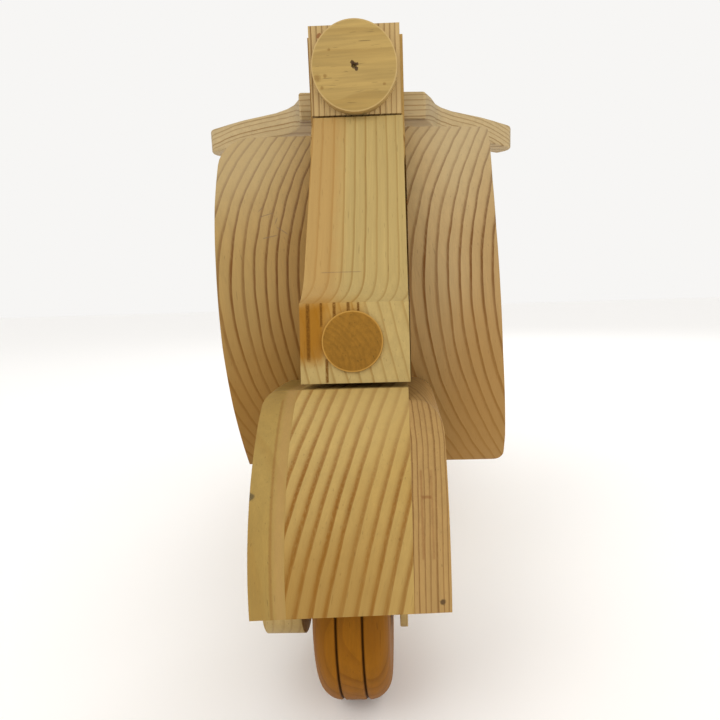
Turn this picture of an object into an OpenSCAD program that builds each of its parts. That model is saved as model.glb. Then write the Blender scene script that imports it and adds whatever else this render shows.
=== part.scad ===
// Wooden model of a classic step-through scooter, sawn from pine boards and dowels.
// Two wheels roll, the handlebar turns on a dowel and the centre stand folds back.
// Millimetres, +Z up, Z = 0 is the ground. The scooter faces -Y, so its right side is -X.

/* [Timber] */
// Thickness of the main timber: column, mudguard core and body core
core_t = 45; // [44:0.5:46]
// Thickness of the mudguard cheeks
cheek_t = 13; // [12:0.5:14]
// Thickness of the bowed shield panels
panel_t = 12; // [10:0.5:13]
// Thickness of the handlebar plank
bar_t = 14; // [12:0.5:14.5]
// Thickness of each side cowl
cowl_t = 34; // [30:1:36]

/* [Wheels] */
// Distance between the two axles
wheelbase = 325; // [318:1:330]
// Radius of both wheels
wheel_r = 45; // [44:0.5:45.5]
// Thickness of each of a wheel's three discs
disc_t = 10; // [9:0.25:10.25]
// Rounding of a wheel's outer shoulders
tyre_round = 9.5; // [6:0.5:9.5]
// Depth of the bevel that makes a groove between two discs
groove = 1; // [0.5:0.25:2]
// Radius of both axle dowels
axle_r = 5; // [4.5:0.25:5.5]
// Radial clearance of everything that turns on a dowel
run_fit = 0.05; // [0.02:0.01:0.1]

/* [Steering column] */
// Lean of the column from the vertical
rake = 34; // [33:0.5:35]
// Thickness of the column board
column_t = 12; // [11:0.25:12.5]
// Radius of the cove above the horn nose
cove_r = 32; // [30:0.5:34]
// Height of the horn nose's front face
nose_h = 33; // [32:0.5:34]
// Backward lean of the horn nose's front face
nose_lean = 10; // [8:0.5:11]
// Radius of the horn dowel
horn_r = 12.6; // [10:0.2:13]

/* [Head and handlebar] */
// Width of the head block
head_w = 45; // [43:0.5:46]
// Height of the head block
head_h = 41.5; // [40:0.5:42]
// Radius of the headlamp disc
lamp_r = 21; // [18:0.5:21]
// Thickness of the headlamp disc
lamp_t = 6; // [4:0.5:8]
// Angle at which the handlebar stands in the rest pose
bar_turn = 5; // [0:1:8]

/* [Shield and mudguard] */
// Radius of the shield panels' bowed front
bow_r = 157; // [155:0.5:159]
// Radius of the mudguard's front curve
guard_r = 84; // [82:0.5:84]
// Rounding of the mudguard's upper corner on its right side
guard_corner_right = 5; // [2:0.5:13]
// Rounding of the mudguard's upper corner on its left side
guard_corner_left = 10.5; // [2:0.5:13]
// Clearance between a wheel and the arch above it
arch_gap = 6; // [4:0.5:6]

/* [Hidden] */
$fn = 96;
half = core_t / 2;

// Front axle, rear axle and their arches, as [y, z]
front_axle = [-171, wheel_r];
rear_axle = [front_axle[0] + wheelbase, wheel_r];
arch_r = wheel_r + arch_gap;
// The front wheel runs between the thick fork leg and the thin fork plate
front_wheel_x = -2.2;
fork_leg_x = [-41.5, -25];
fork_plate_x = [16.6, 19.9];
leg_round = 19;
wheel_half = 1.5 * disc_t;
washer_play = 0.4;

// Column: the plane of its front passes through column_top, as [y, z]
column_top = [-103.3, 262.2];
cove_start_z = 184.4;
nose_back_y = -150;
column_x = 1;
// Spine: the block behind the column, between the shield panels
spine_half = 24.5;
spine_front_y = -127;
spine_back_y = -98;
upright_t = 6;
ledge_z = 267.7;
ledge_back_y = -30;

// Head block
head_bottom_z = 263.5;
head_front_y = -102;
head_x = 0.4;
head_top_z = head_bottom_z + head_h;
lamp_z = 284.2;

// Handlebar and its pivot
pivot_y = -52;
pivot_r = 6;
pivot_depth = 15;
bar_z = ledge_z + 0.3;
button_r = 13;
button_t = 7;

// Shield panels: centre of the bow, as [y, z]
bow_c = [34.2, 160];
panel_gap = 0.1;

// Mudguard: centre of its front curve, as [y, z], and the slope of its lower edge in degrees.
// Its top falls a little from the curve to the back.
guard_c = [-144, 62];
guard_top_z = 137.2;
guard_top_y = -182;
guard_back_z = 133.3;
guard_bottom_z = 64.6;
guard_back_y = -127;
guard_tilt = 1.8;

// Floor, body and seat
floor_top_z = 82.6;
floor_t = 17;
floor_half = 38;
floor_front_y = -124;
body_front_y = 50;
body_bottom_z = floor_top_z - floor_t;
body_top_z = 190;
tail_y = 223.5;
seat_t = 22;
seat_half = 30;
seat_y = [44, 184];
tail_lamp_r = 8;
tail_lamp_z = 128;
cowl_c = [154, 110];
stay_t = 12.5;

// Centre stand, pivot as [y, z]
stand_pivot = [34, 53];
stand_half = 30;
stand_leg_t = 10;
stand_pin_r = 4;
foot_ahead = 8;

// Joining dowels
dowel_r = 4;
dowel_slack = 0.05;

pine = [0.87, 0.72, 0.49];
pine_pale = [0.91, 0.79, 0.58];
pine_amber = [0.83, 0.64, 0.38];
wheel_wood = [0.72, 0.48, 0.25];
dowel_wood = [0.68, 0.48, 0.28];
beech = [0.80, 0.62, 0.42];

// Extrudes a side profile, drawn as (y, z), from x0 to x1
module slab(x0, x1)
  translate([x0, 0, 0]) rotate([90, 0, 90]) linear_extrude(x1 - x0) children();

// Extrudes a front outline, drawn as (x, z), from y0 to y1
module front(y0, y1)
  translate([0, y1, 0]) rotate([90, 0, 0]) linear_extrude(y1 - y0) children();

// Rod along X between x0 and x1 through the point at = [y, z]
module rod_x(x0, x1, r, at)
  translate([x0, at[0], at[1]]) rotate([0, 90, 0]) cylinder(r = r, h = x1 - x0);

// Rod of length len from point a; it points along +Z, tilted about X
module rod(a, tilt, len, r)
  translate(a) rotate([tilt, 0, 0]) cylinder(r = r, h = len);

// Y of the column's front plane at height z, moved back square to the plane
function column_y(z, back = 0) =
  column_top[0] + (z - column_top[1]) * tan(rake) + back / cos(rake);

// Points of an arc about c with radius r, from angle a0 to a1, in n steps
function arc(c, r, a0, a1, n = 12) =
  [for (i = [0:n]) let (a = a0 + (a1 - a0) * i / n) c + r * [cos(a), sin(a)]];

// Height at which the plane that lies back behind the front has the given y
function column_z(y, back) =
  column_top[1] + (y - back / cos(rake) - column_top[0]) / tan(rake);

// ---- Steering column, spine and head ----

cove_start = [column_y(cove_start_z), cove_start_z];
cove_c = cove_start + cove_r * [-cos(rake), sin(rake)];
cove_end_angle = -73.4;
nose_top = cove_c + cove_r * [cos(cove_end_angle), sin(cove_end_angle)];
nose_bottom = nose_top - nose_h * [sin(nose_lean), cos(nose_lean)];
horn_c = (nose_top + nose_bottom) / 2 + [0, 0.5];
horn_len = 14;
horn_proud = 1.2;

module horn_rod(r, proud)
  translate([column_x - 0.8, horn_c[0], horn_c[1]]) rotate([90 - nose_lean, 0, 0])
    translate([0, 0, -(horn_len - horn_proud)]) cylinder(r = r, h = horn_len + proud);

module steering_column()
  color(pine_pale) difference() {
    slab(column_x - half, column_x + half) difference() {
      polygon([nose_bottom, nose_top, cove_start, column_top,
               [column_y(column_top[1], column_t), column_top[1]],
               [nose_back_y, column_z(nose_back_y, column_t)],
               [nose_back_y, nose_bottom[1]]]);
      translate(cove_c) circle(cove_r);
    }
    horn_rod(horn_r, 5);
    column_dowel_set(0);
  }

module horn() color(dowel_wood) horn_rod(horn_r - dowel_slack, 0);

slot_depth = 5;
slot_inset = 1;
upright_front_y = column_y(column_top[1], column_t);
bracket_r = 66;

module spine_profile()
  difference() {
    polygon([[spine_front_y, floor_top_z], [spine_front_y, nose_bottom[1]],
             [nose_back_y, nose_bottom[1]], [nose_back_y, column_z(nose_back_y, column_t)],
             [upright_front_y, column_top[1]], [upright_front_y, head_top_z],
             [upright_front_y + upright_t, head_top_z],
             [upright_front_y + upright_t, ledge_z],
             [ledge_back_y, ledge_z], [ledge_back_y, floor_top_z]]);
    translate([ledge_back_y, ledge_z - 14 - bracket_r]) circle(bracket_r);
    translate([spine_back_y, 0]) square([80, ledge_z - 14 - bracket_r]);
    translate([ledge_back_y, 0]) square([80, ledge_z - 14]);
  }

// The spine stands back beside the column, which leaves a deep narrow slot at each panel
module spine_slot()
  difference() {
    square([400, 2 * (column_top[1] - 4)], center = true);
    translate(bow_c) circle(bow_r - slot_depth, $fn = 180);
    translate([spine_back_y, -500]) square([400, 1000]);
  }

module spine()
  color(pine_amber) difference() {
    slab(-spine_half, spine_half) spine_profile();
    slab(-spine_half - 1, column_x - half + slot_inset) spine_slot();
    slab(column_x + half - slot_inset, spine_half + 1) spine_slot();
    translate([0, pivot_y, ledge_z - pivot_depth]) cylinder(r = pivot_r + dowel_slack, h = 40);
    column_dowel_set(0);
    head_dowel_set(0);
    shield_dowel_set(0);
    mudguard_dowel_set(0);
    spine_foot_dowels(0);
  }

module head_block()
  color(pine) difference() {
    translate([head_x - head_w / 2, head_front_y, head_bottom_z])
      cube([head_w, upright_front_y - head_front_y, head_h]);
    head_dowel_set(0);
  }

// The headlamp is a thin disc with a small pilot hole in its middle
module headlamp()
  color(pine_amber) difference() {
    translate([head_x, head_front_y, lamp_z]) rotate([90, 0, 0]) cylinder(r = lamp_r, h = lamp_t);
    translate([head_x, head_front_y - lamp_t + 2, lamp_z])
      rotate([90, 0, 0]) cylinder(r = 0.9, h = 10);
  }

// ---- Handlebar ----

// Half width of the square stub around the pivot, and how far its front stands ahead of it
stub_half = 34.2;
stub_front = 25;
// Front edge of one wing, from the stub outwards, as [out, back] from the plank's middle
wing_front = [[37, -15.5], [41, -4.5], [45.5, 2.5], [53, 10], [63, 16.5], [74, 23.5], [84, 31.5], [92, 38.5]];
tip = arc([90, 49], 9.5, -50, 50, 5);
wing_back = [[93, 60], [84, 54], [72, 45], [60, 37.5], [48, 32], [34, 28], [18, 26]];
wing = concat(wing_front, tip, wing_back);
wing_count = len(wing);

// The pivot was drilled a little off the plank's middle
bar_offset = 2;

// The plank's outline: the stub's front edge, one wing, and its mirror image in reverse
bar_outline = concat([[-stub_half - bar_offset, -stub_front], [stub_half - bar_offset, -stub_front]], wing,
                     [for (i = [1:wing_count]) let (p = wing[wing_count - i]) [-p[0], p[1]]]);

module handlebar()
  color(pine) translate([0, pivot_y, bar_z]) rotate([0, 0, bar_turn]) difference() {
    linear_extrude(bar_t) translate([bar_offset, 0]) polygon(bar_outline);
    translate([0, 0, -1]) cylinder(r = pivot_r + run_fit, h = bar_t + 2);
  }

module handlebar_pin()
  color(dowel_wood) translate([0, pivot_y, ledge_z - pivot_depth])
    cylinder(r = pivot_r, h = pivot_depth + bar_t + 0.6);

// A turned wooden button glued on top of the pin keeps the handlebar down
module handlebar_button()
  color(beech) translate([0, pivot_y, ledge_z + bar_t + 0.6]) rotate_extrude()
    intersection() {
      square([button_r, button_t]);
      translate([0, -18]) circle(25);
    }

// ---- Shield ----

module bow_band()
  difference() {
    translate(bow_c) circle(bow_r, $fn = 180);
    translate(bow_c) circle(bow_r - panel_t, $fn = 180);
    translate([bow_c[0] - 80, 0]) square([300, 400]);
  }

// Each panel's front outline is sawn by eye, so the two differ a little
shield_right_points = concat(
  [[-spine_half - panel_gap, floor_top_z], [-66.6, floor_top_z], [-68.9, 118], [-70.4, 150],
   [-71.3, 188], [-72.4, 220]],
  arc([-57, 242.4], 15.5, 180, 90, 8), [[-spine_half - panel_gap, 257.6]]);

shield_left_points = concat(
  [[spine_half + panel_gap, floor_top_z]], arc([69.3, floor_top_z + 5], 5, -90, 0, 6),
  [[74.2, 98], [72.8, 118], [70.8, 145], [69.4, 175], [68.2, 205], [67.8, 230]],
  arc([65.2, 256.4], 3, 0, 90, 4), [[spine_half + panel_gap, 261.3]]);

module shield_right()
  color(pine) difference() {
    intersection() {
      slab(-90, 0) bow_band();
      front(-140, -40) polygon(shield_right_points);
    }
    shield_dowel_set(0);
  }

module shield_left()
  color(pine) difference() {
    intersection() {
      slab(0, 90) bow_band();
      front(-140, -40) polygon(shield_left_points);
    }
    shield_dowel_set(0);
  }

// ---- Mudguard, fork and front wheel ----

module guard_profile()
  intersection() {
    translate(guard_c) circle(guard_r, $fn = 180);
    polygon([[-240, guard_bottom_z - 3], [guard_back_y, guard_bottom_z - 3],
             [guard_back_y, guard_back_z], [guard_top_y, guard_top_z], [-240, guard_top_z]]);
  }

// All that lies above the mudguard's lower edge, which was sawn a little out of level
module above_guard_edge()
  translate([0, 0, guard_bottom_z]) rotate([0, -guard_tilt, 0])
    translate([-100, -300, 0]) cube([200, 260, 200]);

module mudguard_core()
  color(pine_pale) difference() {
    intersection() {
      slab(-half, half) guard_profile();
      above_guard_edge();
    }
    rod_x(-60, 60, arch_r, front_axle);
    mudguard_dowel_set(0);
  }

// One outer layer, no higher than top; corner is the radius of its upper outer corner
module cheek(side, corner, top)
  intersection() {
    slab(side < 0 ? -half - cheek_t : half, side < 0 ? -half : half + cheek_t) guard_profile();
    above_guard_edge();
    front(-260, 0) mirror([side < 0 ? 1 : 0, 0]) union() {
      square([half + cheek_t, top - corner]);
      square([half + cheek_t - corner, top]);
      translate([half + cheek_t - corner, top - corner]) circle(corner);
    }
  }

module mudguard_cheek_right()
  color(pine_pale) difference() {
    cheek(-1, guard_corner_right, guard_top_z);
    fork_dowel_set(0);
  }

module mudguard_cheek_left() color(pine) cheek(1, guard_corner_left, guard_back_z);

// Rounded leg around an axle, reaching up to z
module lobe(x0, x1, axle, r, z)
  slab(x0, x1) union() {
    translate(axle) circle(r);
    translate([axle[0] - r, axle[1]]) square([2 * r, z - axle[1]]);
  }

module fork_leg()
  color(pine_pale) difference() {
    lobe(fork_leg_x[0], fork_leg_x[1], front_axle, leg_round, guard_bottom_z + 5);
    above_guard_edge();
    rod_x(-60, 60, axle_r + dowel_slack, front_axle);
    fork_dowel_set(0);
  }

plate_top_z = 86;

module fork_plate()
  color(pine) difference() {
    lobe(fork_plate_x[0], fork_plate_x[1], front_axle, leg_round - 2, plate_top_z);
    rod_x(-60, 60, axle_r + dowel_slack, front_axle);
  }

module fork_shim()
  color(pine) slab(fork_plate_x[1], half)
    translate([front_axle[0] - leg_round + 4, guard_bottom_z + 2])
      square([2 * leg_round - 8, plate_top_z - guard_bottom_z - 2]);

module front_axle()
  color(dowel_wood) rod_x(fork_leg_x[0], fork_plate_x[1], axle_r, front_axle);

module washer(x0, x1, axle)
  difference() {
    rod_x(x0, x1, axle_r + 4, axle);
    rod_x(x0 - 1, x1 + 1, axle_r + dowel_slack, axle);
  }

module front_washers()
  color(beech) {
    washer(fork_leg_x[1], front_wheel_x - wheel_half - washer_play, front_axle);
    washer(front_wheel_x + wheel_half + washer_play, fork_plate_x[0], front_axle);
  }

// Half section of a disc, as (radius, width): a bevel at each glued joint, and the
// shoulder of the outer disc rounded like a tyre
module disc_section(outer)
  intersection() {
    polygon(outer
      ? [[axle_r + run_fit, 0], [wheel_r - groove, 0], [wheel_r, groove], [wheel_r, disc_t],
         [axle_r + run_fit, disc_t]]
      : [[axle_r + run_fit, 0], [wheel_r - groove, 0], [wheel_r, groove],
         [wheel_r, disc_t - groove], [wheel_r - groove, disc_t], [axle_r + run_fit, disc_t]]);
    union() {
      square([wheel_r - (outer ? tyre_round : 0), disc_t]);
      if (outer) {
        square([wheel_r, disc_t - tyre_round]);
        translate([wheel_r - tyre_round, disc_t - tyre_round]) circle(tyre_round);
      }
    }
  }

// side is -1 for the right disc, 0 for the middle one and 1 for the left
module wheel_disc(x, axle, side)
  translate([x + (side == 0 ? -disc_t / 2 : side * disc_t / 2), axle[0], axle[1]])
    rotate([0, side < 0 ? -90 : 90, 0]) rotate_extrude($fn = 180) disc_section(side != 0);

module front_wheel_core() color(wheel_wood) wheel_disc(front_wheel_x, front_axle, 0);
module front_wheel_right() color(wheel_wood) wheel_disc(front_wheel_x, front_axle, -1);
module front_wheel_left() color(wheel_wood) wheel_disc(front_wheel_x, front_axle, 1);

// ---- Floor, body, cowls and seat ----

module floorboard()
  color(pine) difference() {
    translate([-floor_half, floor_front_y, body_bottom_z])
      cube([2 * floor_half, body_front_y - floor_front_y, floor_t]);
    spine_foot_dowels(0);
    floor_dowel_set(0);
  }

knee_r = 24;
tail_r = 64;
tail_c = [tail_y - tail_r, body_top_z - tail_r];

// Side profile of the body: rounded knee under the seat, round tail, arch for the wheel
module body_profile()
  difference() {
    polygon(concat([[body_front_y, body_bottom_z]],
                   arc([body_front_y + 8 + knee_r, body_top_z - knee_r], knee_r, 180, 90),
                   arc(tail_c, tail_r, 90, -12, 24), [[tail_y - 8, body_bottom_z]]));
    translate(rear_axle) circle(arch_r);
  }

module body_core()
  color(pine_amber) difference() {
    slab(-half, half) body_profile();
    seat_dowel_set(0);
    cowl_dowel_set(0);
    floor_dowel_set(0);
    rod([0, tail_y - 12, tail_lamp_z], -90, 40, tail_lamp_r);
  }

// A cowl's outline is a long drop: a big round at the back, a small one in front, and
// the two straight lines that touch both
cowl_back = [160, 106];
cowl_back_r = 46;
cowl_nose = [104, 100];
cowl_nose_r = 31;
cowl_dome_r = 125;
cowl_step = cowl_back - cowl_nose;
cowl_slope = atan2(cowl_step[1], cowl_step[0]);
cowl_flare = asin((cowl_back_r - cowl_nose_r) / norm(cowl_step));

module cowl_outline()
  intersection() {
    polygon(concat(arc(cowl_back, cowl_back_r, cowl_slope - 90 - cowl_flare,
                       cowl_slope + 90 + cowl_flare, 28),
                   arc(cowl_nose, cowl_nose_r, cowl_slope + 90 + cowl_flare,
                       cowl_slope + 270 - cowl_flare, 20)));
    translate([0, body_bottom_z]) square([300, 200]);
  }

module cowl(side)
  color(pine) difference() {
    intersection() {
      slab(side < 0 ? -half - cowl_t : half, side < 0 ? -half : half + cowl_t) cowl_outline();
      translate([side * (half + cowl_t - cowl_dome_r), cowl_c[0], cowl_c[1]])
        sphere(cowl_dome_r, $fn = 180);
    }
    cowl_dowel_set(0);
    stay_dowel_set(0);
  }

module cowl_right() cowl(-1);
module cowl_left() cowl(1);

seat_corner = 22;

module seat()
  color(pine_amber) difference() {
    intersection() {
      translate([0, 0, body_top_z]) linear_extrude(seat_t) union() {
        translate([-seat_half, seat_y[0] + seat_corner])
          square([2 * seat_half, seat_y[1] - seat_y[0] - 2 * seat_corner]);
        translate([-seat_half + seat_corner, seat_y[0]])
          square([2 * (seat_half - seat_corner), seat_y[1] - seat_y[0]]);
        for (x = [-1, 1], y = [seat_y[0] + seat_corner, seat_y[1] - seat_corner])
          translate([x * (seat_half - seat_corner), y]) circle(seat_corner);
      }
      slab(-seat_half, seat_half) translate([(seat_y[0] + seat_y[1]) / 2, body_top_z + seat_t - 420])
        circle(420, $fn = 360);
    }
    seat_dowel_set(0);
  }

module tail_lamp()
  color(dowel_wood) rod([0, tail_y - 12, tail_lamp_z], -90, 16, tail_lamp_r - dowel_slack);

// ---- Rear wheel ----

module rear_stay(side)
  color(pine) difference() {
    lobe(side < 0 ? -half - stay_t : half, side < 0 ? -half : half + stay_t,
         rear_axle, leg_round, body_bottom_z);
    rod_x(-60, 60, axle_r + dowel_slack, rear_axle);
    stay_dowel_set(0);
  }

module rear_stay_right() rear_stay(-1);
module rear_stay_left() rear_stay(1);

module rear_axle()
  color(dowel_wood) rod_x(-half - stay_t, half + stay_t, axle_r, rear_axle);

module rear_washers()
  color(beech) {
    washer(-half, -wheel_half - washer_play, rear_axle);
    washer(wheel_half + washer_play, half, rear_axle);
  }

module rear_wheel_core() color(wheel_wood) wheel_disc(0, rear_axle, 0);
module rear_wheel_right() color(wheel_wood) wheel_disc(0, rear_axle, -1);
module rear_wheel_left() color(wheel_wood) wheel_disc(0, rear_axle, 1);

// ---- Centre stand ----

bracket_y = [stand_pivot[0] - 13, stand_pivot[0] + 13];
leg_w = 16;
leg_top = body_bottom_z - 0.4 - stand_pivot[1];
rail_z = 13;

module stand_bracket()
  color(pine) difference() {
    translate([-stand_half + 0.4, bracket_y[0], stand_pivot[1] - 11])
      cube([2 * stand_half - 0.8, bracket_y[1] - bracket_y[0],
            body_bottom_z - stand_pivot[1] + 11]);
    rod_x(-60, 60, stand_pin_r + run_fit, stand_pivot);
  }

// Side profile of a stand leg. Its square front corner stops against the floorboard;
// the rear corner is rounded about the pivot so that the leg can fold back.
module leg_profile()
  translate(stand_pivot) polygon(concat(
    [[-leg_w / 2, leg_top], [0, leg_top]],
    arc([0, 0], leg_top, 80, acos(leg_w / 2 / leg_top), 5),
    [[leg_w / 2, 0], [leg_w / 2 - foot_ahead, -stand_pivot[1]],
     [-leg_w / 2 - foot_ahead, -stand_pivot[1]], [-leg_w / 2, 0]]));

module stand_leg(side)
  color(pine) difference() {
    slab(side < 0 ? -stand_half - stand_leg_t : stand_half,
         side < 0 ? -stand_half : stand_half + stand_leg_t) leg_profile();
    rod_x(-60, 60, stand_pin_r + dowel_slack, stand_pivot);
    rod_x(-60, 60, stand_pin_r + dowel_slack, rail_at);
  }

rail_at = [stand_pivot[0] - foot_ahead * (stand_pivot[1] - rail_z) / stand_pivot[1], rail_z];

module stand_leg_right() stand_leg(-1);
module stand_leg_left() stand_leg(1);

module stand_pin()
  color(dowel_wood) rod_x(-stand_half - stand_leg_t, stand_half + stand_leg_t,
                          stand_pin_r, stand_pivot);

module stand_rail()
  color(dowel_wood) rod_x(-stand_half - stand_leg_t, stand_half + stand_leg_t,
                          stand_pin_r, rail_at);

// ---- Joining dowels: slack is 0 for a bore and dowel_slack for the dowel in it ----

module column_dowel_set(slack)
  for (z = [200, 240])
    rod([column_x, column_y(z, 5), z], -(90 + rake), 20, dowel_r - slack);

module head_dowel_set(slack)
  for (x = [-12, 12])
    rod([head_x + x, head_front_y + 3, head_bottom_z + 20], -90, 15, dowel_r - slack);

module shield_dowel_set(slack)
  for (s = [-1, 1], p = [[-104, 218], [-112, 130]])
    rod_x(s < 0 ? -spine_half - 14 : spine_half - 14, s < 0 ? -spine_half + 14 : spine_half + 14,
          dowel_r - slack, p);

module mudguard_dowel_set(slack)
  for (x = [-12, 12])
    rod([x, guard_back_y - 18, 118], -90, 34, dowel_r - slack);

module spine_foot_dowels(slack)
  for (x = [-12, 12])
    rod([x, -112, body_bottom_z + 4], 0, 30, dowel_r - slack);

module fork_dowel_set(slack)
  for (y = [-10, 10])
    rod([fork_leg_x[1] - 6, front_axle[0] + y, 56], 0, 30, dowel_r - 1 - slack);

module seat_dowel_set(slack)
  for (y = [85, 148])
    rod([0, y, body_top_z - 16], 0, 26, dowel_r - slack);

module cowl_dowel_set(slack)
  for (p = [[110, 104], [196, 110]])
    rod_x(-half - 14, half + 14, dowel_r - slack, p);

module floor_dowel_set(slack)
  for (x = [-12, 12])
    rod([x, body_front_y - 18, body_bottom_z + floor_t / 2], -90, 36, dowel_r - slack);

module stay_dowel_set(slack)
  for (s = [-1, 1], y = [-12, 12])
    rod([s * (half + stay_t / 2), rear_axle[0] + y, 54], 0, 26, dowel_r - 1 - slack);

module head_dowels() color(dowel_wood) head_dowel_set(dowel_slack);
module column_dowels() color(dowel_wood) column_dowel_set(dowel_slack);
module shield_dowels() color(dowel_wood) shield_dowel_set(dowel_slack);
module mudguard_dowels() color(dowel_wood) mudguard_dowel_set(dowel_slack);
module fork_dowels() color(dowel_wood) fork_dowel_set(dowel_slack);
module seat_dowels() color(dowel_wood) seat_dowel_set(dowel_slack);
module cowl_dowels() color(dowel_wood) cowl_dowel_set(dowel_slack);
module floor_dowels() color(dowel_wood) {
  floor_dowel_set(dowel_slack);
  spine_foot_dowels(dowel_slack);
}
module stay_dowels() color(dowel_wood) stay_dowel_set(dowel_slack);

steering_column();
spine();
head_block();
headlamp();
horn();
handlebar();
handlebar_pin();
handlebar_button();
shield_right();
shield_left();
mudguard_core();
mudguard_cheek_right();
mudguard_cheek_left();
fork_leg();
fork_plate();
fork_shim();
front_axle();
front_washers();
front_wheel_core();
front_wheel_right();
front_wheel_left();
floorboard();
body_core();
cowl_right();
cowl_left();
seat();
tail_lamp();
rear_stay_right();
rear_stay_left();
rear_axle();
rear_washers();
rear_wheel_core();
rear_wheel_right();
rear_wheel_left();
stand_bracket();
stand_leg_right();
stand_leg_left();
stand_pin();
stand_rail();
head_dowels();
column_dowels();
shield_dowels();
mudguard_dowels();
fork_dowels();
seat_dowels();
cowl_dowels();
floor_dowels();
stay_dowels();
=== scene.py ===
"""Looks of the wooden scooter model: every board gets its own growth rings, fibres and edges."""
import math
import bpy
from mathutils import Matrix, Vector


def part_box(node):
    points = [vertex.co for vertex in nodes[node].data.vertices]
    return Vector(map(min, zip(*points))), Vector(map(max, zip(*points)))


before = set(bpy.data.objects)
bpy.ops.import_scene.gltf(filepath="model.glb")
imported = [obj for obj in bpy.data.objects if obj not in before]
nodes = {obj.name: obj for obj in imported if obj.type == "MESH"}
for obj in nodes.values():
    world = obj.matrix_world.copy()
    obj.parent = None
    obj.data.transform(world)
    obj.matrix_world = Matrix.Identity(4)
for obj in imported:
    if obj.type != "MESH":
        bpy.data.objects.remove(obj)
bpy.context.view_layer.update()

scene = bpy.context.scene
MM = 0.001
CAMERA_PLACE = (0.02065, -0.412, 0.176)
FLOOR_SIZE = 12


def rgb(red, green, blue):
    """Linear colour from 0-255 screen values."""
    def linear(v):
        v /= 255
        return v / 12.92 if v <= 0.04045 else ((v + 0.055) / 1.055) ** 2.4
    return (linear(red), linear(green), linear(blue), 1.0)


# ---- Camera, light and floor ----

def make_camera():
    """Close in front, a little above the middle, looking slightly down, with a slight roll."""
    pitch = math.radians(10)
    yaw = 0.028
    roll = math.asin(0.03)
    forward = Vector((-math.sin(yaw) * math.cos(pitch), math.cos(yaw) * math.cos(pitch), -math.sin(pitch)))
    level = forward.cross(Vector((0, 0, 1))).normalized()
    upright = level.cross(forward)
    right = level * math.cos(roll) - upright * math.sin(roll)
    up = level * math.sin(roll) + upright * math.cos(roll)
    data = bpy.data.cameras.new("camera")
    data.lens = 28.9
    data.sensor_width = 36
    data.shift_x = -0.0389
    data.shift_y = 0.0451
    data.clip_start = 0.01
    cam = bpy.data.objects.new("camera", data)
    scene.collection.objects.link(cam)
    turn = Matrix((right, up, -forward)).transposed()
    cam.matrix_world = Matrix.Translation(CAMERA_PLACE) @ turn.to_4x4()
    scene.camera = cam


def area_light(name, position, target, size, power, colour=(1, 1, 1)):
    """A round lamp at position that shines towards target; power in watts."""
    data = bpy.data.lights.new(name, "AREA")
    data.shape = "DISK"
    data.size = size
    data.energy = power
    data.color = colour
    lamp = bpy.data.objects.new(name, data)
    lamp.location = position
    lamp.rotation_mode = "QUATERNION"
    lamp.rotation_quaternion = (Vector(target) - Vector(position)).to_track_quat("-Z", "Y")
    scene.collection.objects.link(lamp)


def make_stage():
    """Soft daylight from all round, three lamps, and a pale floor."""
    world = bpy.data.worlds.new("world")
    world.use_nodes = True
    background = world.node_tree.nodes["Background"]
    background.inputs["Color"].default_value = (1.0, 0.99, 0.975, 1)
    background.inputs["Strength"].default_value = 0.93
    scene.world = world
    scene.view_settings.view_transform = "Standard"
    area_light("key", (-0.75, -1.15, 1.25), (0, -0.1, 0.15), size=0.9, power=4.8, colour=(1.0, 0.975, 0.94))
    area_light("fill", (0.75, -1.15, 0.5), (0, -0.1, 0.12), size=1.2, power=3.4, colour=(1.0, 0.985, 0.96))
    area_light("rim", (0.4, 1.2, 1.2), (0, 0.05, 0.15), size=1.0, power=4.5)
    bpy.ops.mesh.primitive_plane_add(size=FLOOR_SIZE, location=(0, 0, 0))
    floor = bpy.context.object
    floor.name = "floor"
    mat = bpy.data.materials.new("floor")
    mat.use_nodes = True
    shader = mat.node_tree.nodes["Principled BSDF"]
    shader.inputs["Base Color"].default_value = (0.985, 0.975, 0.96, 1)
    shader.inputs["Roughness"].default_value = 0.7
    floor.data.materials.append(mat)


# ---- Wood ----

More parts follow.
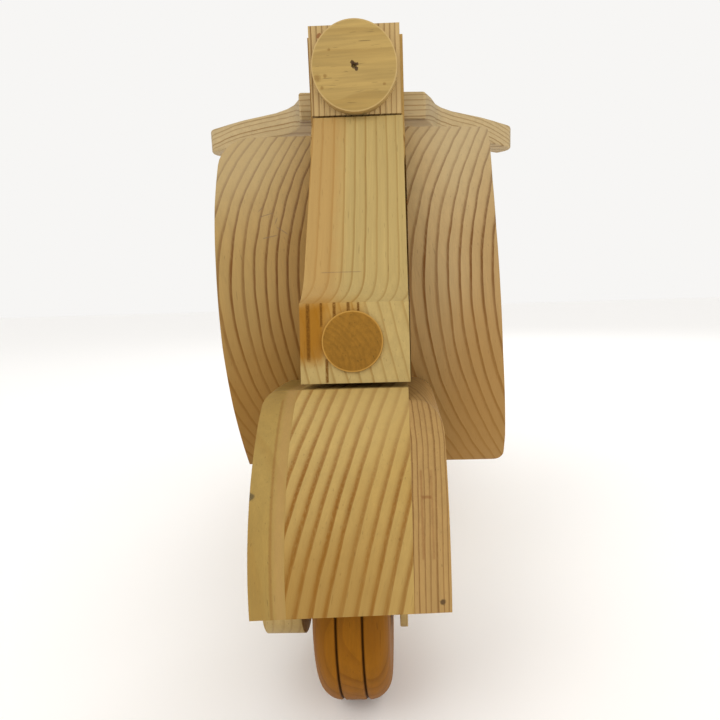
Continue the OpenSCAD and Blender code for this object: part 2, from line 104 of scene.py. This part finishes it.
class Graph:
    """Adds shader nodes to one material and links them."""

    def __init__(self, name):
        self.mat = bpy.data.materials.new(name)
        self.mat.use_nodes = True
        self.tree = self.mat.node_tree
        self.shader = self.tree.nodes["Principled BSDF"]

    def set(self, socket, value):
        if hasattr(value, "is_output"):
            self.tree.links.new(value, socket)
        else:
            socket.default_value = value

    def math(self, op, a, b=0.0, c=0.0, clamp=False):
        n = self.tree.nodes.new("ShaderNodeMath")
        n.operation = op
        n.use_clamp = clamp
        for socket, value in zip(n.inputs, (a, b, c)):
            self.set(socket, value)
        return n.outputs[0]

    def vector(self, op, a, b=(0, 0, 0), scale=1.0):
        n = self.tree.nodes.new("ShaderNodeVectorMath")
        n.operation = op
        self.set(n.inputs[0], a)
        self.set(n.inputs[1], b)
        self.set(n.inputs[3], scale)
        return n.outputs[1 if op in ("DOT_PRODUCT", "LENGTH", "DISTANCE") else 0]

    def noise(self, vector, scale, detail=2.0, rough=0.5):
        n = self.tree.nodes.new("ShaderNodeTexNoise")
        self.set(n.inputs["Vector"], vector)
        self.set(n.inputs["Scale"], scale)
        self.set(n.inputs["Detail"], detail)
        self.set(n.inputs["Roughness"], rough)
        return n.outputs[0]

    def smooth(self, value, lo, hi, to_lo=0.0, to_hi=1.0):
        n = self.tree.nodes.new("ShaderNodeMapRange")
        n.interpolation_type = "SMOOTHSTEP"
        for socket, v in zip(n.inputs, (value, lo, hi, to_lo, to_hi)):
            self.set(socket, v)
        return n.outputs[0]

    def ramp(self, value, stops):
        n = self.tree.nodes.new("ShaderNodeValToRGB")
        self.set(n.inputs[0], value)
        elements = n.color_ramp.elements
        for i, (place, level) in enumerate(stops):
            e = elements[i] if i < 2 else elements.new(place)
            e.position = place
            e.color = (level, level, level, 1)
        return n.outputs[0]

    def mix(self, factor, a, b, mode="MIX"):
        n = self.tree.nodes.new("ShaderNodeMix")
        n.data_type = "RGBA"
        n.blend_type = mode
        self.set(n.inputs[0], factor)
        self.set(n.inputs[6], a)
        self.set(n.inputs[7], b)
        return n.outputs[2]

    def combine(self, x, y, z):
        n = self.tree.nodes.new("ShaderNodeCombineXYZ")
        for socket, v in zip(n.inputs, (x, y, z)):
            self.set(socket, v)
        return n.outputs[0]


# Latewood over one year, as (part of the year, darkness)
RING_PROFILE = ((0.0, 0.0), (0.5, 0.03), (0.68, 0.16), (0.79, 0.75), (0.88, 1.0), (0.95, 0.9), (1.0, 0.0))
WIDE_PROFILE = ((0.0, 0.0), (0.42, 0.05), (0.6, 0.35), (0.74, 0.85), (0.86, 1.0), (0.95, 0.7), (1.0, 0.0))
THIN_PROFILE = ((0.0, 0.0), (0.6, 0.04), (0.78, 0.25), (0.86, 0.85), (0.92, 1.0), (0.97, 0.7), (1.0, 0.0))
SOFT_PROFILE = ((0.0, 0.1), (0.4, 0.1), (0.7, 0.45), (0.9, 0.8), (0.97, 0.7), (1.0, 0.1))

# Grain features: cycles per metre across the grain and along it
TRUNK_WAVE = (22, 7)
RIPPLE = (160, 60)
FIBRES = (1900, 55)
BANDS = (420, 14)
RESIN_CANALS = (1500, 150)
WAVE_SIZE = 0.006  # how far the waves move a ring, in metres
RIPPLE_SIZE = 0.0011
# How far each feature moves the wood's brightness, where 1 is the whole of it
FIBRE_SHADE = 0.22
BAND_SHADE = 0.26
CANAL_SHADE = 0.22
END_GRAIN_SHADE = 0.2
GLUE_LINE = rgb(52, 28, 8)
RELIEF = 0.25 * MM  # depth of the grain


def wood(name, centre, outward, grain, spacing, pale, dark, radius=0.2, contrast=1.0, wobble=1.0,
         uneven_years=1.0, warm=None, warmth=0.35, rough=0.55, gloss=0.2, profile=RING_PROFILE, fibre=1.0,
         coarse=1.0, pencil=(), spots=(), patches=(), joints=(), rim=None):
    """A board sawn from a log: rings round a pith that lies radius behind centre, seen along outward.

    All in the part's frame. spacing is the distance between rings, in metres. coarse scales how fine
    the fibres are, and below 1 they are coarser. The last five go to marks_and_painted_light.
    """
    g = Graph(name)
    coords = g.tree.nodes.new("ShaderNodeTexCoord")
    place = coords.outputs["Object"]
    n = Vector(outward).normalized()
    d = Vector(grain)
    d = (d - n * d.dot(n)).normalized()
    s = n.cross(d)
    c = Vector(centre)
    local = g.vector("SUBTRACT", place, tuple(c))
    along = g.vector("DOT_PRODUCT", local, tuple(d))
    out = g.vector("DOT_PRODUCT", local, tuple(n))
    side = g.vector("DOT_PRODUCT", local, tuple(s))

    def stretched(across, lengthwise):
        return g.combine(g.math("MULTIPLY", out, across), g.math("MULTIPLY", side, across),
                         g.math("MULTIPLY", along, lengthwise))

    # slow waves of the trunk, longer along the grain than across it
    slow = stretched(*TRUNK_WAVE)
    wave = g.math("MULTIPLY", g.math("SUBTRACT", g.noise(slow, 1.0, 2.0), 0.5), WAVE_SIZE * wobble)
    quick = stretched(*RIPPLE)
    ripple = g.math("MULTIPLY", g.math("SUBTRACT", g.noise(quick, 1.0, 1.0), 0.5), RIPPLE_SIZE * wobble)
    from_pith = g.math("ADD", out, radius)
    r = g.vector("LENGTH", g.combine(from_pith, side, 0.0))
    r = g.math("ADD", g.math("ADD", r, wave), ripple)
    # uneven years: some rings are wider than others, and some latewood is darker
    years = g.math("MULTIPLY", r, 1 / spacing)
    uneven = g.math("MULTIPLY", g.noise(g.combine(years, 0.0, 0.0), 0.55, 1.0), uneven_years)
    years = g.math("ADD", years, uneven)
    phase = g.math("FRACT", years)
    white = g.tree.nodes.new("ShaderNodeTexWhiteNoise")
    white.noise_dimensions = "1D"
    g.set(white.inputs["W"], g.math("FLOOR", years))
    strength = g.math("MULTIPLY_ADD", white.outputs["Value"], 0.45, 0.65)
    late = g.ramp(phase, profile)
    # fibres: fine streaks along the grain that also fray the latewood's edge
    streak = g.noise(stretched(FIBRES[0] * coarse, FIBRES[1]), 1.0, 2.0, 0.6)
    band = g.noise(stretched(*BANDS), 1.0, 2.0, 0.5)
    frayed = g.math("MULTIPLY", late, g.smooth(streak, 0.18, 0.62, 0.62, 1.08))
    late_amount = g.math("MULTIPLY", g.math("MULTIPLY", frayed, strength), contrast, clamp=True)
    early = pale
    if warm is not None:
        patch = g.smooth(g.noise(slow, 0.9, 1.0), 0.38, 0.66)
        early = g.mix(g.math("MULTIPLY", patch, warmth), pale, warm)
    colour = g.mix(late_amount, early, dark)
    shade = g.math("ADD", g.math("MULTIPLY", g.math("SUBTRACT", streak, 0.5), FIBRE_SHADE * fibre),
                   g.math("MULTIPLY", g.math("SUBTRACT", band, 0.5), BAND_SHADE * fibre))
    shade = g.math("ADD", shade, 1.0)
    # short dark resin canals
    dashes = stretched(*RESIN_CANALS)
    canal = g.smooth(g.noise(dashes, 1.0, 0.0), 0.76, 0.82, 0.0, CANAL_SHADE * fibre)
    shade = g.math("SUBTRACT", shade, canal)
    # end grain drinks more light
    facing = g.vector("DOT_PRODUCT", coords.outputs["Normal"], tuple(d))
    end = g.smooth(g.math("ABSOLUTE", facing), 0.75, 0.99, 0.0, END_GRAIN_SHADE)
    shade = g.math("SUBTRACT", shade, end)
    colour = g.mix(1.0, colour, g.combine(shade, shade, shade), "MULTIPLY")
    colour = marks_and_painted_light(g, place, colour, patches, spots, pencil, joints, rim)
    g.set(g.shader.inputs["Base Color"], colour)
    g.set(g.shader.inputs["Roughness"], g.math("ADD", g.math("MULTIPLY", streak, 0.16), rough - 0.08))
    g.shader.inputs["Specular IOR Level"].default_value = gloss
    bump = g.tree.nodes.new("ShaderNodeBump")
    bump.inputs["Strength"].default_value = 0.35
    bump.inputs["Distance"].default_value = RELIEF
    relief = g.math("ADD", g.math("MULTIPLY", streak, 0.55), g.math("MULTIPLY", late, 0.5))
    g.set(bump.inputs["Height"], g.math("ADD", relief, g.math("MULTIPLY", band, 0.5)))
    g.set(g.shader.inputs["Normal"], bump.outputs[0])
    return g.mat


def marks_and_painted_light(g, place, colour, patches, spots, pencil, joints, rim):
    """Adds the marks of one board to its colour.

    A patch is (point, half sizes, softness, colour, amount). A spot is (point, radius, colour,
    amount, softness), from crisp 0 to soft 1; some spots are painted shade and some painted light.
    A pencil mark is (point, along, length, half width, colour, strength). joints are the x of glued
    joints that show as dark lines. rim is (point, axis, radius, width, colour) of a pale ring painted
    along a chamfered edge as its highlight.
    """
    for point, half_sizes, softness, tone, amount in patches:
        colour = stain_patch(g, place, colour, point, half_sizes, softness, tone, amount)
    for point, size, tone, amount, softness in spots:
        distance = g.vector("DISTANCE", place, tuple(point))
        ragged = g.math("MULTIPLY", g.math("SUBTRACT", g.noise(place, 1.1 / size, 2.0), 0.5), size)
        distance = g.math("ADD", distance, ragged)
        inner = size * (1 - 0.9 * softness)
        outer = size * (1.1 + 0.7 * softness)
        colour = g.mix(g.smooth(distance, inner, outer, amount, 0.0), colour, tone)
    for mark in pencil:
        colour = pencil_mark(g, place, colour, *mark)
    if joints:
        apart = g.tree.nodes.new("ShaderNodeSeparateXYZ")
        g.set(apart.inputs[0], place)
        for x in joints:
            gap = g.math("ABSOLUTE", g.math("SUBTRACT", apart.outputs[0], x))
            colour = g.mix(g.smooth(gap, 0.3 * MM, 0.7 * MM, 0.85, 0.0), colour, GLUE_LINE)
    # the rim: a pale ring painted along a chamfered edge, a painted highlight
    if rim is not None:
        point, axis, radius_out, width, tone = rim
        off = off_line(g, g.vector("SUBTRACT", place, tuple(point)), Vector(axis).normalized())[1]
        amount = g.smooth(off, radius_out - 1.6 * width, radius_out - 0.6 * width, 0.0, 0.75)
        colour = g.mix(amount, colour, tone)
    return colour


def off_line(g, local, d):
    """Distance along a line through the origin of local, and distance away from it."""
    along = g.vector("DOT_PRODUCT", local, tuple(d))
    return along, g.vector("DISTANCE", local, g.vector("SCALE", tuple(d), scale=along))


def pencil_mark(g, place, colour, point, direction, length, width, tone, strength=1.0):
    """A gritty line on the wood, fading at its ends."""
    along, off = off_line(g, g.vector("SUBTRACT", place, tuple(point)), Vector(direction).normalized())
    line = g.smooth(off, width * 0.3, width * 1.1, 1.0, 0.0)
    inside = g.smooth(g.math("ABSOLUTE", along), length * 0.4, length * 0.5, 1.0, 0.0)
    grit = g.smooth(g.noise(place, 2600, 1.0), 0.3, 0.6, 0.25 * strength, 0.5 * strength)
    amount = g.math("MULTIPLY", g.math("MULTIPLY", line, inside), grit, clamp=True)
    return g.mix(amount, colour, tone)


def stain_patch(g, place, colour, point, half_sizes, softness, tone, amount):
    """A box-shaped region of another tone, with soft uneven edges."""
    local = g.vector("ABSOLUTE", g.vector("SUBTRACT", place, tuple(point)))
    apart = g.tree.nodes.new("ShaderNodeSeparateXYZ")
    g.set(apart.inputs[0], local)
    ragged = g.math("MULTIPLY", g.math("SUBTRACT", g.noise(place, 0.6 / softness, 2.0), 0.5), softness)
    inside = amount
    for axis, half_size in enumerate(half_sizes):
        distance = g.math("ADD", apart.outputs[axis], ragged)
        edge = g.smooth(distance, half_size - softness, half_size + softness, 1.0, 0.0)
        inside = g.math("MULTIPLY", inside, edge)
    return g.mix(inside, colour, tone)


WELD_DISTANCE = 0.01 * MM
BEVEL_FROM = math.radians(28)  # edges that turn by less than this stay as they are


def finish_node(name, mat, width=0.6, segments=3):
    """Gives a CAD node its material and softly sanded edges; width in millimetres."""
    obj = nodes[name]
    obj.data.materials.clear()
    obj.data.materials.append(mat)
    for p in obj.data.polygons:
        p.use_smooth = True
    weld = obj.modifiers.new("weld", "WELD")
    weld.merge_threshold = WELD_DISTANCE
    bevel = obj.modifiers.new("edges", "BEVEL")
    bevel.width = width * MM
    bevel.segments = segments
    bevel.limit_method = "ANGLE"
    bevel.angle_limit = BEVEL_FROM
    bevel.harden_normals = True
    bevel.use_clamp_overlap = True


# Tones of the boards
PALE = rgb(184, 157, 102)
PALE_GOLD = rgb(178, 143, 80)
LATE = rgb(114, 74, 26)
LATE_LIGHT = rgb(142, 102, 48)
GRAPHITE = rgb(120, 98, 72)
DARK_SPOT = rgb(70, 48, 24)

RAKE = math.radians(34)  # how far the steering column leans back
UP_COLUMN = (0, math.sin(RAKE), math.cos(RAKE))
INTO_COLUMN = Vector((0, math.cos(RAKE), -math.sin(RAKE)))
# The shield's bow in millimetres: its axis and its radius
BOW_Y = 34.2
BOW_Z = 160
BOW_R = 157
BOW_MIDDLE = (BOW_Y - BOW_R) * MM


def centre_of(name):
    lo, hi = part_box(name)
    return (Vector(lo) + Vector(hi)) / 2


def near(name, x, y, z):
    """The point x, y, z millimetres from the middle of a CAD node."""
    return centre_of(name) + Vector((x, y, z)) * MM


DOWN_NOSE = (0, -0.174, -0.985)
HORN_AXIS = (0, 1, -0.174)
STAIN = rgb(100, 60, 0)
# Dark streaks on the nose: their place from the middle of the column, length and half width, in mm
NOSE_STREAKS = ((-19, -41.4, -40.7, 26, 1.1), (-13.5, -40.1, -33.2, 12, 0.7), (-8.1, -39.8, -31.7, 10, 0.9),
                (-2.3, -39.6, -30.2, 7.5, 0.9), (1.8, -39.6, -30.2, 7, 0.7), (-11.6, -44.2, -56.4, 11, 0.9),
                (-20.6, -43.6, -50.0, 14, 0.7))


def dress_head():
    """The column board with its stained nose, the upright, head, lamp, horn and handlebar."""
    streaks = [(near("steering_column", x, y, z), DOWN_NOSE, length * MM, width * MM, STAIN, 2.0)
               for x, y, z, length, width in NOSE_STREAKS]
    torn = [(near("steering_column", -10, -39.2, -27.6), (1, 0, 0.02), 18 * MM, 0.8 * MM, STAIN, 1.4),
            (near("steering_column", -2, -39.3, -27.2), (1, 0, -0.05), 15 * MM, 0.5 * MM, STAIN, 1.2)]
    ruled = [(near("steering_column", -6.4, -22, -16.1), (1, 0, 0), 19 * MM, 0.4 * MM, GRAPHITE, 1.3)]
    column = wood("column_board", (0.001, -0.14, 0.2), Vector((1, 0, 0)) - INTO_COLUMN * 0.6, UP_COLUMN,
                  4.4 * MM, rgb(173, 149, 94), rgb(136, 102, 46), radius=0.16, contrast=0.66, wobble=0.5,
                  uneven_years=0.5, profile=THIN_PROFILE, gloss=0.1,
                  patches=((near("steering_column", -16.5, 0, 16.5), (9 * MM, 80 * MM, 48 * MM), 5 * MM,
                            rgb(172, 122, 62), 0.4),
                           (near("steering_column", -9, -42, -38), (12 * MM, 14 * MM, 10 * MM), 4 * MM,
                            rgb(164, 114, 30), 0.6),
                           (near("steering_column", -19, -42, -41), (7 * MM, 14 * MM, 12 * MM), 3 * MM,
                            rgb(144, 93, 4), 0.85)),
                  pencil=streaks + torn + ruled)
    finish_node("steering_column", column)
    spine = wood("spine_board", (0, -0.1, 0.16), (1, 0.6, 0), (0, 0, 1), 3.6 * MM, PALE_GOLD, LATE,
                 radius=0.1, contrast=0.8)
    finish_node("spine", spine)
    head = wood("head_board", (0, -0.1, 0.28), (1, 0.25, 0), (0, 0, 1), 2.7 * MM, rgb(182, 154, 103),
                rgb(112, 78, 34), radius=0.09, contrast=0.9, wobble=0.5, uneven_years=0.6,
                spots=((near("head_block", -17, -6.6, 16), 1.3 * MM, rgb(136, 84, 40), 0.8, 0.2),))
    finish_node("head_block", head)
    blemishes = ((-18.3, -5, 1.5), (-14.4, -4.2, 0.9), (-16.1, -9.6, 0.8), (14.5, -8.8, 0.7), (-12, 7.5, 0.7))
    lamp_spots = [(near("headlamp", x, -3, z), size * MM, rgb(126, 92, 40), 0.6, 0.6)
                  for x, z, size in blemishes]
    # dark dots painted where the pilot hole is: painted shade in the hole
    pilot_hole_shade = ((0, 0.1, 1.5), (-0.9, 1.5, 0.9), (1.1, -1.4, 0.9), (1.5, 0.7, 0.7))
    lamp_spots += [(near("headlamp", x, -3, z), size * MM, rgb(54, 32, 10), 0.9, 0.2)
                   for x, z, size in pilot_hole_shade]
    lamp = wood("lamp_board", (0, -0.108, 0.284), (0, -1, 0.35), (1, 0, 0.03), 4.4 * MM, rgb(169, 141, 82),
                rgb(136, 106, 50), radius=0.07, contrast=0.45, profile=SOFT_PROFILE, fibre=1.7, coarse=0.45,
                spots=lamp_spots,
                # rim: a pale ring painted as the highlight on the lamp's chamfered edge
                rim=(centre_of("headlamp"), (0, 1, 0), 21 * MM, 0.5 * MM, rgb(186, 158, 104)))
    finish_node("headlamp", lamp, width=0.7)
    horn = wood("horn_dowel", centre_of("horn"), (0.9, 0, 0.4), (0, -1, -0.17), 2.2 * MM, rgb(150, 106, 36),
                rgb(124, 84, 24), radius=0.02, contrast=0.45, profile=SOFT_PROFILE, fibre=1.6, gloss=0.08,
                # rim: a pale ring painted as the highlight on the horn's chamfered edge
                rim=(centre_of("horn"), HORN_AXIS, 12.6 * MM, 0.5 * MM, rgb(182, 138, 66)))
    finish_node("horn", horn, width=0.5)
    bar = wood("handlebar_plank", (0, -0.08, 0.275), (0, -0.35, 1), (1, 0, 0), 2.6 * MM, rgb(182, 159, 116),
               rgb(134, 102, 56), radius=0.12, contrast=0.8, wobble=0.6)
    finish_node("handlebar", bar, width=1.2)


# Scribbles on the right-hand shield: x, height above their foot in mm, and the angle of the stroke
SCRIBBLE_FOOT = 158
SCRIBBLE = ((-49, 60, 0.9), (-46, 57, 0.3), (-41, 54, 1.2), (-38, 49, -0.6), (-44, 46, 0.2))


def shield_front(x, z):
    """The point of the bowed front at that x and z, in millimetres."""
    return Vector((x, BOW_Y - math.sqrt(BOW_R ** 2 - (z - BOW_Z) ** 2), z)) * MM


def dress_front():
    """The shields, the mudguard with its cheeks, and the fork."""
    scribble = [(shield_front(x, SCRIBBLE_FOOT + z), (math.cos(a), 0.2 * math.sin(a), math.sin(a)),
                 8 * MM, 0.35 * MM, GRAPHITE, 1.7) for x, z, a in SCRIBBLE]
    for name, side, tone, lower_tone_and_shade, marks in (
            ("shield_right", -1, rgb(162, 132, 78), rgb(142, 98, 22), scribble),
            ("shield_left", 1, rgb(172, 145, 100), rgb(160, 118, 54), ())):
        panel = wood(name + "_board", (side * 0.048, BOW_MIDDLE, 0.16), (1, -1.04, 0.152), (0, 0, 1),
                     4.1 * MM, tone, rgb(104, 64, 14), radius=0.3, warm=rgb(158, 118, 60), warmth=0.45,
                     contrast=0.95, wobble=0.7, uneven_years=0.4, pencil=marks,
                     # the lower spot is partly the board's tone and partly painted shade; the upper pale spot
                     # is partly tone and partly painted light on the panel's top
                     spots=((shield_front(side * 62, 95), 55 * MM, lower_tone_and_shade, 0.7, 1.0),
                            (shield_front(side * 60, 255), 40 * MM, rgb(188, 170, 130), 0.4, 1.0)))
        finish_node(name, panel, width=0.9)
    core = wood("mudguard_board", (0, -0.226, 0.07), (1, -0.243, -0.189), (0, 0.1, 1), 5.0 * MM,
                rgb(176, 147, 85), rgb(124, 78, 8), radius=0.4, warm=rgb(164, 128, 58), warmth=0.6,
                contrast=0.95, wobble=0.45, uneven_years=0.35, profile=WIDE_PROFILE,
                spots=((near("mudguard_core", -12, -46, -30), 34 * MM, rgb(136, 94, 24), 0.5, 1.0),
                       (near("mudguard_core", 8, -10, 34), 26 * MM, rgb(186, 158, 98), 0.5, 1.0)))
    finish_node("mudguard_core", core, width=0.4)
    right = "mudguard_cheek_right"
    cheek_right = wood("cheek_right_board", (-0.029, -0.2, 0.1), (1, 0.9, 0), (0, 0, 1), 16 * MM,
                       rgb(156, 128, 66), rgb(138, 104, 44), radius=0.25, contrast=0.3,
                       warm=rgb(148, 116, 54), warmth=0.6,
                       # a dark spot painted where a small notch is: painted shade in the notch
                       spots=((near(right, -6.4, -38.9, 4.5), 1.5 * MM, rgb(66, 58, 38), 0.75, 0.4),),
                       patches=((near(right, 1.5, -22, -4), (0.5 * MM, 50 * MM, 38 * MM), 0.5 * MM,
                                 rgb(126, 82, 28), 0.5),
                                (near(right, 4.6, -22, 0), (2 * MM, 50 * MM, 60 * MM), 1.5 * MM,
                                 rgb(166, 130, 78), 0.5)))
    finish_node(right, cheek_right, width=1.2)
    left = "mudguard_cheek_left"
    rust = rgb(118, 68, 24)
    rust_bars = ((-3, -1.3, 0.4, 14, 0.45), (0.6, -1.3, 0.4, 14, 0.35), (-1.2, 4.4, 1.8, 0.4, 0.6))
    rust_mark = [(near(left, x, -40.5, z), (wide * MM, 14 * MM, high * MM), 0.5 * MM, rust, amount)
                 for x, z, wide, high, amount in rust_bars]
    cheek_left = wood("cheek_left_board", (0.029, -0.2, 0.1), (1, 0.05, 0), (0, 0, 1), 2.05 * MM,
                      rgb(163, 129, 76), rgb(110, 72, 26), radius=0.2, contrast=0.85, wobble=0.5,
                      warm=rgb(158, 118, 66), patches=rust_mark,
                      spots=((near(left, 3.3, -50.2, -29.8), 1.0 * MM, DARK_SPOT, 0.85, 0.4),
                             (near(left, 0, -20, 30), 1.2 * MM, DARK_SPOT, 0.4, 0.5)))
    finish_node(left, cheek_left, width=1.2)
    fork = wood("fork_board", (-0.033, -0.18, 0.05), (1, 0.3, 0), (0, 0, 1), 3.5 * MM, rgb(176, 150, 94),
                rgb(144, 112, 60), contrast=0.5)
    for name, width in (("fork_leg", 1.0), ("fork_plate", 0.3), ("fork_shim", 0.3)):
        finish_node(name, fork, width=width)


def dress_wheels():
    """Three glued discs a wheel, each with its grain at another angle."""
    for end in ("front", "rear"):
        lo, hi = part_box(end + "_wheel_core")
        for disc, turn in (("core", 1.42), ("right", 1.62), ("left", 1.5)):
            name = "%s_wheel_%s" % (end, disc)
            grain = (0, math.cos(turn), math.sin(turn))
            outward = (0.5, -math.sin(turn), math.cos(turn))
            mat = wood(name + "_disc", centre_of(name), outward, grain, 3.6 * MM,
                       rgb(134, 84, 8), rgb(96, 52, 4), radius=0.12, contrast=0.5, profile=SOFT_PROFILE,
                       fibre=1.3, rough=0.5, gloss=0.08, joints=(lo[0], hi[0]))
            finish_node(name, mat, width=0.25, segments=2)


def dress_rear():
    """The floorboard, the rear body with its cowls, seat and stays, and the stand."""
    floor = wood("floor_board", (0, -0.04, 0.082), (0.25, 0, 1), (0.04, 1, 0), 4.2 * MM, PALE, LATE,
                 radius=0.05, contrast=0.8)
    finish_node("floorboard", floor, width=1.2)
    body = wood("body_board", (0, 0.13, 0.13), (0.9, 0, 0.5), (0, 1, 0.03), 4.0 * MM, PALE_GOLD, LATE,
                radius=0.08, contrast=0.8)
    finish_node("body_core", body, width=1.2)
    for name, side in (("cowl_right", -1), ("cowl_left", 1)):
        mat = wood(name + "_block", (side * 0.05, 0.154, 0.11), (side, 0, 0.1), (0, 1, 0.08), 4.3 * MM,
                   PALE, LATE, radius=0.055, contrast=0.9)
        finish_node(name, mat, width=2.0, segments=4)
    seat = wood("seat_board", (0.01, 0.11, 0.21), (0.15, 0, 1), (0, 1, 0), 3.6 * MM, PALE_GOLD, LATE,
                radius=0.05, contrast=0.85)
    finish_node("seat", seat, width=2.5, segments=4)
    for name, side in (("rear_stay_right", -1), ("rear_stay_left", 1)):
        mat = wood(name + "_board", (side * 0.03, 0.154, 0.05), (0.7, 0.7, 0), (0, 0, 1), 3.6 * MM, PALE,
                   LATE_LIGHT, contrast=0.8)
        finish_node(name, mat, width=0.8)
    stand = wood("stand_board", (0.03, 0.03, 0.03), (1, 0.3, 0), (0, 0, 1), 3.0 * MM, PALE, LATE_LIGHT,
                 contrast=0.7)
    for name in ("stand_leg_right", "stand_leg_left"):
        finish_node(name, stand, width=0.7)
    bracket = wood("bracket_block", (0, 0.034, 0.055), (0, 0.5, 1), (1, 0, 0), 3.0 * MM, PALE, LATE_LIGHT,
                   contrast=0.7)
    finish_node("stand_bracket", bracket, width=0.7)


# Dowels by direction: board name, grain, direction outward from the pith, nodes
DOWEL_GROUPS = (
    ("dowel_crosswise", (1, 0, 0), (0, 1, 0.6),
     ("front_axle", "rear_axle", "stand_pin", "stand_rail", "shield_dowels", "cowl_dowels")),
    ("dowel_lengthwise", (0, 1, 0), (1, 0, 0.6),
     ("head_dowels", "column_dowels", "mudguard_dowels", "tail_lamp")),
    ("dowel_upward", (0, 0, 1), (1, 0.5, 0),
     ("handlebar_pin", "fork_dowels", "seat_dowels", "floor_dowels", "stay_dowels")),
)


def dress_dowels():
    """The dowels, the tail lamp and the small turned pieces."""
    for name, grain, outward, members in DOWEL_GROUPS:
        mat = wood(name, (0, 0, 0.1), outward, grain, 1.5 * MM, rgb(160, 118, 58), rgb(118, 76, 34),
                   radius=0.05, contrast=0.6, profile=SOFT_PROFILE, fibre=1.4)
        for member in members:
            finish_node(member, mat, width=0.4, segments=2)
    turned = wood("turned_beech", (0, -0.05, 0.28), (1, 0.5, 0), (0, 0.2, 1), 2.2 * MM, rgb(182, 144, 96),
                  rgb(150, 106, 62), radius=0.04, contrast=0.5, profile=SOFT_PROFILE, fibre=1.2)
    for member in ("handlebar_button", "front_washers", "rear_washers"):
        finish_node(member, turned, width=0.4, segments=2)


make_camera()
make_stage()
dress_head()
dress_front()
dress_wheels()
dress_rear()
dress_dowels()
